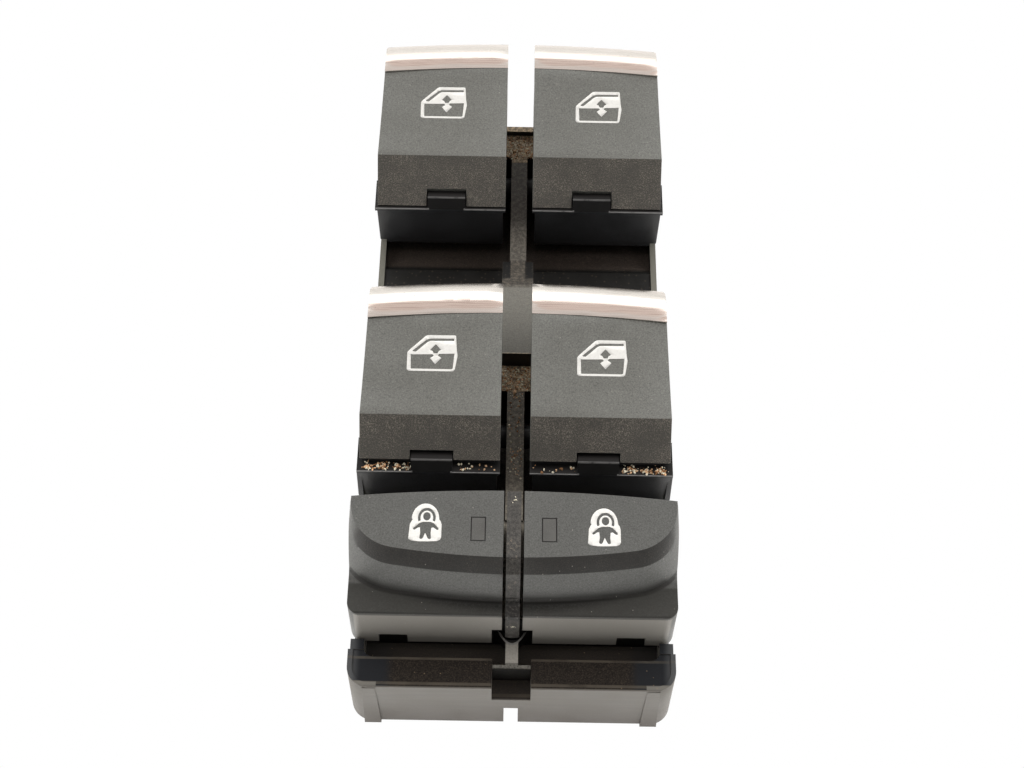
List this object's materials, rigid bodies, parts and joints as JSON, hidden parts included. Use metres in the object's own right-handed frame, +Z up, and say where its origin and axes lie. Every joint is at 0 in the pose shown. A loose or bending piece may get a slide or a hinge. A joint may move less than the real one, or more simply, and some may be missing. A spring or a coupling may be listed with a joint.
{
  "type": "power window switch",
  "caption": "Driver's door window switch with scooped rocker keys, arched bright trims, child lock keys with raised D-shaped pads, and a housing with board and connector.",
  "frame": {"origin": "centre of the bounding box, at the plane that the feet stand on", "axes": "+X to the right as the keys are read, +Y from the child lock keys toward the front window keys, +Z up out of the door panel"},
  "size_m": [0.0538, 0.1226, 0.0362],
  "materials": {
    "base_plastic": "fine-grained light grey moulding, dusty",
    "frame_plastic": "near-black moulding with dust in the coves",
    "key_plastic": "soft satin mid-grey paint with fine grain",
    "strip_plastic": "satin grey moulding",
    "rocker_plastic": "smooth near-black moulding",
    "trim_metal": "brushed bright trim with a thin bright edge",
    "lens_plastic": "smoked indicator window, grey when unlit",
    "guide_plastic": "clear moulded light guide",
    "board_laminate": "green solder mask",
    "connector_plastic": "black moulded shell",
    "contact_metal": "plated contact metal",
    "spring_steel": "spring steel strip",
    "screw_steel": "zinc-plated",
    "switch_plastic": "black switch body",
    "slider_plastic": "natural slippery moulding",
    "lamp_plastic": "small surface-mounted lamp"
  },
  "bodies": {
    "housing": {"base_housing": "base_plastic", "key_frame": "frame_plastic", "centre_strip": "strip_plastic", "front_catch": "strip_plastic", "circuit_board": "board_laminate", "board_screws": "screw_steel", "connector_shell": "connector_plastic", "connector_pins": "contact_metal", "push_switches": "switch_plastic", "lamps": "lamp_plastic", "light_guide_left": "guide_plastic", "child_lock_left_spring": "spring_steel", "light_guide_right": "guide_plastic", "child_lock_right_spring": "spring_steel"},
    "child_lock_left": {"child_lock_left_key": "key_plastic", "indicator_left_lens": "lens_plastic"},
    "child_lock_right": {"child_lock_right_key": "key_plastic", "indicator_right_lens": "lens_plastic"},
    "rear_left_window": {"rear_left_rocker": "rocker_plastic", "rear_left_key": "key_plastic", "rear_left_trim": "trim_metal", "rear_left_spring": "spring_steel"},
    "rear_left_contact": {"rear_left_slider": "slider_plastic"},
    "rear_right_window": {"rear_right_rocker": "rocker_plastic", "rear_right_key": "key_plastic", "rear_right_trim": "trim_metal", "rear_right_spring": "spring_steel"},
    "rear_right_contact": {"rear_right_slider": "slider_plastic"},
    "front_left_window": {"front_left_rocker": "rocker_plastic", "front_left_key": "key_plastic", "front_left_trim": "trim_metal", "front_left_spring": "spring_steel"},
    "front_left_contact": {"front_left_slider": "slider_plastic"},
    "front_right_window": {"front_right_rocker": "rocker_plastic", "front_right_key": "key_plastic", "front_right_trim": "trim_metal", "front_right_spring": "spring_steel"},
    "front_right_contact": {"front_right_slider": "slider_plastic"}
  },
  "joints": [
    {"name": "child_lock_left_press", "type": "slide", "parent": "housing", "child": "child_lock_left", "axis": [0, 0, -1], "range_m": [0, 0.0012], "stiffness_N_per_m": 600, "springref_m": -0.0006, "deforming": ["child_lock_left_spring"]},
    {"name": "child_lock_right_press", "type": "slide", "parent": "housing", "child": "child_lock_right", "axis": [0, 0, -1], "range_m": [0, 0.0012], "stiffness_N_per_m": 600, "springref_m": -0.0006, "deforming": ["child_lock_right_spring"]},
    {"name": "rear_left_tilt", "type": "hinge", "parent": "housing", "child": "rear_left_window", "pos_m": [-0.0139, -0.0144, 0.016], "axis": [1, 0, 0], "range_deg": [-6, 6], "stiffness_Nm_per_rad": 0.08},
    {"name": "rear_left_contact_slide", "type": "slide", "parent": "housing", "child": "rear_left_contact", "axis": [0, 1, 0], "range_m": [-0.00105, 0.00105]},
    {"name": "rear_right_tilt", "type": "hinge", "parent": "housing", "child": "rear_right_window", "pos_m": [0.0139, -0.0144, 0.016], "axis": [1, 0, 0], "range_deg": [-6, 6], "stiffness_Nm_per_rad": 0.08},
    {"name": "rear_right_contact_slide", "type": "slide", "parent": "housing", "child": "rear_right_contact", "axis": [0, 1, 0], "range_m": [-0.00105, 0.00105]},
    {"name": "front_left_tilt", "type": "hinge", "parent": "housing", "child": "front_left_window", "pos_m": [-0.0139, 0.0409, 0.016], "axis": [1, 0, 0], "range_deg": [-6, 6], "stiffness_Nm_per_rad": 0.08},
    {"name": "front_left_contact_slide", "type": "slide", "parent": "housing", "child": "front_left_contact", "axis": [0, 1, 0], "range_m": [-0.00105, 0.00105]},
    {"name": "front_right_tilt", "type": "hinge", "parent": "housing", "child": "front_right_window", "pos_m": [0.0139, 0.0409, 0.016], "axis": [1, 0, 0], "range_deg": [-6, 6], "stiffness_Nm_per_rad": 0.08},
    {"name": "front_right_contact_slide", "type": "slide", "parent": "housing", "child": "front_right_contact", "axis": [0, 1, 0], "range_m": [-0.00105, 0.00105]}
  ],
  "couplings": [
    {"joint": "rear_left_contact_slide", "follows": "rear_left_tilt", "m_per_rad": 0.0095},
    {"joint": "rear_right_contact_slide", "follows": "rear_right_tilt", "m_per_rad": 0.0095},
    {"joint": "front_left_contact_slide", "follows": "front_left_tilt", "m_per_rad": 0.0095},
    {"joint": "front_right_contact_slide", "follows": "front_right_tilt", "m_per_rad": 0.0095}
  ]
}
